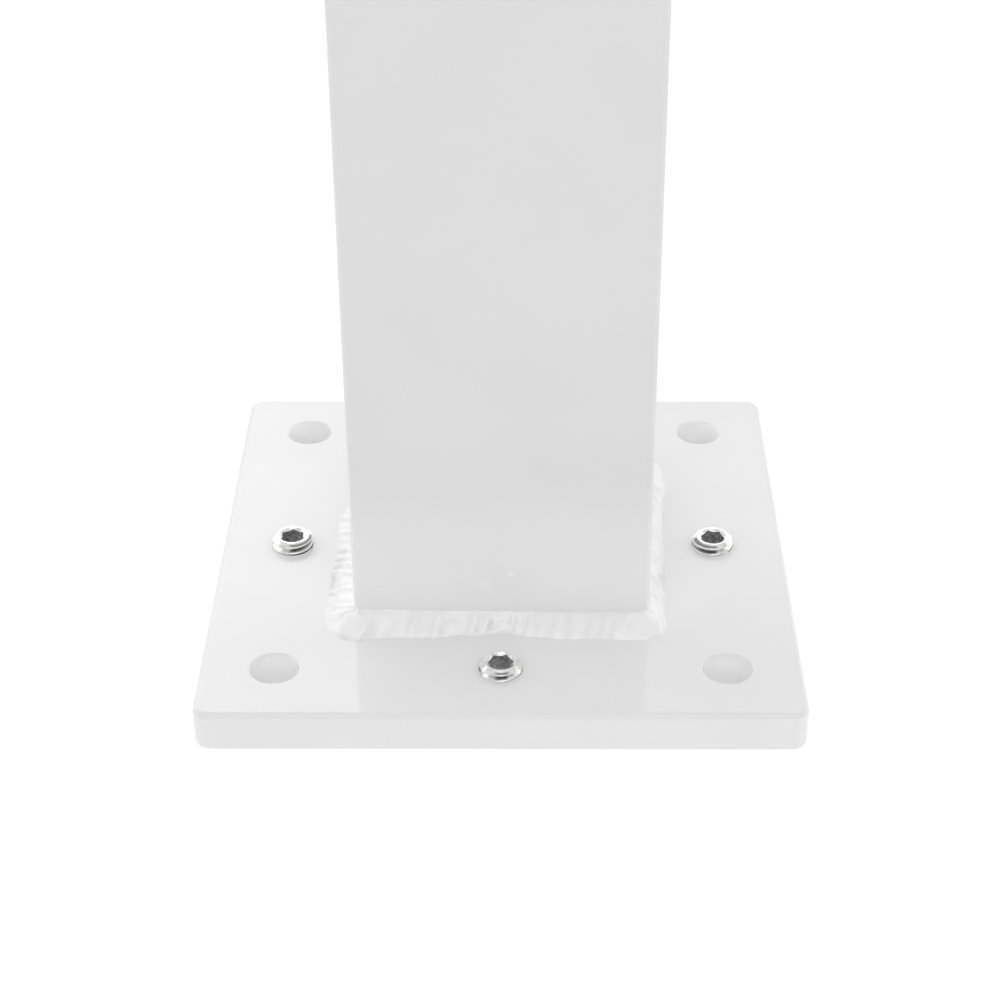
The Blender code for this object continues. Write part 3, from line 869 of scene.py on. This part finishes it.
def paint_bore_tones(material, finish, sizes):
    """Painted light on the walls of the bolt holes, whitest at the top and darker towards their lower ends.
    """
    tree, shader = principled(material)
    place = on_object(tree)
    folded = node(tree, "ShaderNodeVectorMath", {0: place}, operation="ABSOLUTE").outputs["Vector"]
    parts = node(tree, "ShaderNodeSeparateXYZ", {"Vector": folded})
    flat = node(
        tree, "ShaderNodeCombineXYZ", {"X": parts.outputs["X"], "Y": parts.outputs["Y"], "Z": 0.0}
    ).outputs["Vector"]
    away = distance_to(tree, flat, (HOLE_LINE, HOLE_LINE, 0))
    bore = sizes.bolt_hole_diameter / 2
    inside = ramp(tree, away, bore + sizes.hole_lip / 2, bore)
    # The bore walls take a copy of the coat darker than the tube's, and painted light whitens their upper
    # part
    paint_tone_over(tree, shader, inside, Vector(finish.shaded_coat_colour) * BORE_SHADE)
    high = ramp(tree, parts.outputs["Z"], *BORE_LIGHT)
    paint_tone_over(tree, shader, calc(tree, "MULTIPLY", inside, high), finish.lit_coat_colour)


def paint_crest_highlights(material):
    """Painted highlights in white on the crests of the weld's ripples, and the broader, stronger shine all
    over it.
    """
    tree, shader = principled(material)
    crest = node(tree, "ShaderNodeAttribute", attribute_name=CREST_HIGHLIGHT_LAYER).outputs["Fac"]
    paint_tone_over(tree, shader, ramp(tree, crest, 0.0, 0.8), PURE_WHITE)
    rough = shader.inputs["Roughness"].links[0].from_socket
    tree.links.new(calc(tree, "ADD", rough, WELD_ROUGHNESS), shader.inputs["Roughness"])
    shader.inputs["Specular IOR Level"].default_value = 1.0


def paint_foot_light(material, finish):
    """Painted light round the tube's foot, where a whiter coat lifts the shade."""
    tree, shader = principled(material)
    parts = node(tree, "ShaderNodeSeparateXYZ", {"Vector": on_object(tree)})
    low = ramp(tree, parts.outputs["Z"], *FOOT_LIGHT)
    paint_tone_over(tree, shader, low, finish.lit_coat_colour)


def add_spatter_and_highlights(material):
    """Two low spots of weld spatter under the coat, on the tube's front, painted pale as highlights."""
    tree, shader = principled(material)
    place = on_object(tree)
    specks_and_highlights = None
    for (across, height), radius in SPATTER:
        speck = ramp(tree, distance_to(tree, place, (across, -TUBE_HALF, height)), radius, 0.0)
        specks_and_highlights = speck if specks_and_highlights is None else calc(tree, "MAXIMUM", specks_and_highlights, speck)
    # Painted highlight: the spatter is whitened, while the bump below is its real relief
    paint_tone_over(tree, shader, specks_and_highlights, PURE_WHITE)
    waves = tree.nodes["set_waves"].outputs["Normal"]
    bump = node(
        tree, "ShaderNodeBump",
        {"Strength": 1.0, "Distance": SPATTER_HEIGHT, "Height": specks_and_highlights, "Normal": waves},
    )
    tree.links.new(bump.outputs["Normal"], shader.inputs["Normal"])


def bright_stainless(name, finish, sizes, side):
    """Bright turned steel with rings about its axis, fine marks, a darker mottled colour in the socket, and
    painted shade in the grooves on one side.
    """
    material = bpy.data.materials.new(name)
    tree, shader = principled(material)
    place = on_object(tree)
    centre, _, top = screw_place(side)
    centred = node(
        tree, "ShaderNodeMapping", {"Vector": place, "Location": (-centre[0], -centre[1], -top)}
    ).outputs["Vector"]
    parts = node(tree, "ShaderNodeSeparateXYZ", {"Vector": centred})
    square = calc(tree, "MULTIPLY", parts.outputs["X"], parts.outputs["X"])
    away = calc(tree, "SQRT", calc(tree, "MULTIPLY_ADD", parts.outputs["Y"], parts.outputs["Y"], square))
    inside = ramp(tree, away, sizes.socket_across_flats * 0.6, sizes.socket_across_flats * 0.57)
    deep = ramp(tree, parts.outputs["Z"], -0.3 * MM, -0.7 * MM)
    film = calc(tree, "MULTIPLY", inside, deep)
    # Painted shade in the thread grooves, on the side of the screw given by its bearing and spread
    bearing = math.radians(SCREW_TURNS[side].film_bearing)
    spread = math.radians(SCREW_TURNS[side].film_spread)
    across = calc(tree, "MULTIPLY", parts.outputs["X"], math.cos(bearing))
    facing = calc(
        tree, "DIVIDE", calc(tree, "MULTIPLY_ADD", parts.outputs["Y"], math.sin(bearing), across), away
    )
    edge = math.radians(GROOVE_SHADE_EDGE)
    sector = ramp(tree, facing, math.cos(spread + edge), math.cos(spread - edge))
    under_rim = ramp(tree, parts.outputs["Z"], -0.1 * MM, -0.3 * MM)
    below_crest = ramp(tree, away, *GROOVE_SHADE_AT_CREST)
    chamfer_line = calc(tree, "MULTIPLY_ADD", parts.outputs["Z"], -CHAMFER_WIDTH / CHAMFER_DROP, away)
    outside = ramp(tree, chamfer_line, *GROOVE_SHADE_AT_CHAMFER)
    in_sector = calc(tree, "MULTIPLY", sector, under_rim)
    in_groove = calc(tree, "MULTIPLY", below_crest, outside)
    groove = calc(tree, "MULTIPLY", in_sector, in_groove)
    rings = calc(tree, "SINE", calc(tree, "MULTIPLY", away, math.tau / TURNING_PITCH))
    stains = noise_value(tree, place, 1.1 * MM, 3)
    # The socket walls are darker and mottled
    socket_tone = Vector(finish.socket_colour)
    smears = noise_value(tree, place, 0.8 * MM, 3, 0.4)
    mottled = mix(tree, ramp(tree, smears, 0.3, 0.7), (*(socket_tone * 0.55), 1), (*(socket_tone * 1.25), 1))
    steel = Vector(finish.steel_colour)
    bright = mix(tree, ramp(tree, stains, 0.3, 0.7), (*(steel * 0.9), 1), (*(steel * 1.08), 1))
    coloured = mix(tree, film, bright, mottled)
    # The painted shade is laid over the steel
    shaded_steel = mix(tree, groove, coloured, (*finish.groove_shade_colour, 1))
    tree.links.new(shaded_steel, shader.inputs["Base Color"])
    smooth = ramp(tree, noise_value(tree, place, 0.6 * MM, 3, 0.2), 0.3, 0.7, finish.steel_roughness - 0.04,
                  finish.steel_roughness + 0.06)
    tree.links.new(calc(tree, "MULTIPLY_ADD", film, 0.3, smooth), shader.inputs["Roughness"])
    marks = calc(
        tree, "MULTIPLY_ADD", rings, 0.5, calc(tree, "MULTIPLY", noise_value(tree, place, 0.25 * MM, 2), 1.2)
    )
    bump = node(tree, "ShaderNodeBump", {"Strength": 0.6, "Distance": 0.002 * MM, "Height": marks})
    tree.links.new(bump.outputs["Normal"], shader.inputs["Normal"])
    shader.inputs["Metallic"].default_value = 1.0
    return material


# Studio

def build_floor(look):
    """The round white floor, just under the plate."""
    bm = bmesh.new()
    bmesh.ops.create_circle(
        bm, cap_ends=True, segments=look.floor_sides, radius=look.floor_radius,
        matrix=Matrix.Translation((0, 0, -0.2 * MM)),
    )
    mesh = mesh_from(bm, "studio_floor")
    material = bpy.data.materials.new("white_floor")
    tree, shader = principled(material)
    shader.inputs["Base Color"].default_value = (0.05, 0.05, 0.05, 1)
    shader.inputs["Roughness"].default_value = 1.0
    shader.inputs["Specular IOR Level"].default_value = 0.0
    shader.inputs["Emission Color"].default_value = (1, 1, 1, 1)
    shader.inputs["Emission Strength"].default_value = look.floor_brightness
    mesh.materials.append(material)
    floor = add_object("studio_floor", mesh)


def build_room_light(look):
    """A white room with a broad light over the camera, a long light behind the post and a dim front wall.

    What the camera sees of the room itself is as white as the floor.
    """
    world = bpy.data.worlds.new("white_room")
    bpy.context.scene.world = world
    world.use_nodes = True
    tree = world.node_tree
    tree.nodes.clear()
    heading = node(tree, "ShaderNodeTexCoord").outputs["Generated"]
    parts = node(tree, "ShaderNodeSeparateXYZ", {"Vector": heading})
    x, y, z = (parts.outputs[axis] for axis in "XYZ")
    above = calc(tree, "MULTIPLY", ramp(tree, z, *BACK_LIGHT_FOOT), ramp(tree, z, *BACK_LIGHT_HEAD))
    behind = ramp(tree, y, *BACK_LIGHT_DEPTH)
    light = ramp(tree, x, -BACK_LIGHT_REACH, BACK_LIGHT_REACH, look.back_light_left, look.back_light_right)
    back_light = calc(tree, "MULTIPLY", above, behind)
    walls = mix(tree, ramp(tree, y, *FRONT_WALL), look.room_brightness, look.front_wall_brightness, "FLOAT")
    room = mix(tree, ramp(tree, z, *CEILING), walls, look.ceiling_brightness, "FLOAT")
    facing = node(
        tree, "ShaderNodeVectorMath", {0: heading, 1: FRONT_LIGHT_HEADING}, operation="DOT_PRODUCT"
    ).outputs["Value"]
    front_light = calc(tree, "MULTIPLY", ramp(tree, facing, *FRONT_LIGHT_SPREAD), look.front_light)
    total = mix(tree, back_light, calc(tree, "ADD", room, front_light), light, "FLOAT")
    seen = node(tree, "ShaderNodeLightPath").outputs["Is Camera Ray"]
    strength = mix(tree, seen, total, look.floor_brightness, "FLOAT")
    background = node(tree, "ShaderNodeBackground", {"Color": (1, 1, 1, 1), "Strength": strength})
    output = node(tree, "ShaderNodeOutputWorld")
    tree.links.new(background.outputs["Background"], output.inputs["Surface"])


def build_camera():
    """The camera in front of the post, looking down at its foot."""
    lens = bpy.data.cameras.new("front_camera")
    lens.lens = CAMERA_LENS
    lens.sensor_width = 36
    lens.clip_start = 0.01
    lens.clip_end = 100
    camera = add_object("front_camera", lens)
    heading = Matrix.Rotation(math.radians(CAMERA_HEADING), 4, "Z")
    aim = heading @ Matrix.Rotation(math.radians(CAMERA_TILT), 4, "X")
    roll = Matrix.Rotation(math.radians(CAMERA_ROLL), 4, "Z")
    camera.matrix_world = Matrix.Translation(CAMERA_PLACE) @ aim @ roll
    bpy.context.scene.camera = camera


# Operators

class STAIRPOST_OT_base_plate(Operator):
    """Build the coated base plate with its bolt holes and screw holes"""

    bl_idname = "stair_post.base_plate"
    bl_label = "Base plate"

    def execute(self, context):
        build_base_plate(context.scene.post_sizes, context.scene.post_finish)
        return {"FINISHED"}


class STAIRPOST_OT_post_tube(Operator):
    """Build the coated square tube with its true walls"""

    bl_idname = "stair_post.post_tube"
    bl_label = "Post tube"

    def execute(self, context):
        build_post_tube(context.scene.post_sizes, context.scene.post_finish)
        return {"FINISHED"}


class STAIRPOST_OT_weld_bead(Operator):
    """Build the rippled weld that runs round the foot of the tube"""

    bl_idname = "stair_post.weld_bead"
    bl_label = "Weld bead"

    def execute(self, context):
        build_weld_bead(context.scene.post_sizes, context.scene.post_finish)
        return {"FINISHED"}


class STAIRPOST_OT_set_screws(Operator):
    """Build the four threaded set screws that level the plate"""

    bl_idname = "stair_post.set_screws"
    bl_label = "Set screws"

    def execute(self, context):
        build_set_screws(context.scene.post_sizes, context.scene.post_finish)
        return {"FINISHED"}


class STAIRPOST_OT_post_cap(Operator):
    """Build the flat cap that plugs the tube's top end"""

    bl_idname = "stair_post.post_cap"
    bl_label = "Post cap"

    def execute(self, context):
        build_post_cap(context.scene.post_sizes, context.scene.post_finish)
        return {"FINISHED"}


class STAIRPOST_OT_studio(Operator):
    """Build the white floor, the room's light and the camera"""

    bl_idname = "stair_post.studio"
    bl_label = "Studio"

    def execute(self, context):
        look = context.scene.studio_look
        build_floor(look)
        build_room_light(look)
        build_camera()
        context.scene.view_settings.view_transform = "Standard"
        context.scene.view_settings.look = "None"
        return {"FINISHED"}


class STAIRPOST_PT_pieces(Panel):
    """The post's pieces and settings in the sidebar"""

    bl_idname = "STAIRPOST_PT_pieces"
    bl_label = "Stair post"
    bl_space_type = "VIEW_3D"
    bl_region_type = "UI"
    bl_category = "Stair post"

    def draw(self, context):
        column = self.layout.column(align=True)
        for operator in OPERATORS:
            column.operator(operator.bl_idname)
        for settings in (context.scene.post_sizes, context.scene.post_finish, context.scene.studio_look):
            box = self.layout.box()
            for name in settings.__annotations__:
                box.prop(settings, name)


SETTINGS = {"post_sizes": PostSizes, "post_finish": PostFinish, "studio_look": StudioLook}
OPERATORS = (
    STAIRPOST_OT_base_plate,
    STAIRPOST_OT_post_tube,
    STAIRPOST_OT_weld_bead,
    STAIRPOST_OT_set_screws,
    STAIRPOST_OT_post_cap,
    STAIRPOST_OT_studio,
)
CLASSES = (*SETTINGS.values(), *OPERATORS, STAIRPOST_PT_pieces)


def register():
    for cls in CLASSES:
        bpy.utils.register_class(cls)
    for name, settings in SETTINGS.items():
        setattr(bpy.types.Scene, name, PointerProperty(type=settings))


def unregister():
    for name in SETTINGS:
        delattr(bpy.types.Scene, name)
    for cls in reversed(CLASSES):
        bpy.utils.unregister_class(cls)


def main():
    """Builds every piece and the studio."""
    register()
    bpy.ops.stair_post.base_plate()
    bpy.ops.stair_post.post_tube()
    bpy.ops.stair_post.weld_bead()
    bpy.ops.stair_post.set_screws()
    bpy.ops.stair_post.post_cap()
    bpy.ops.stair_post.studio()


if __name__ == "__main__":
    main()
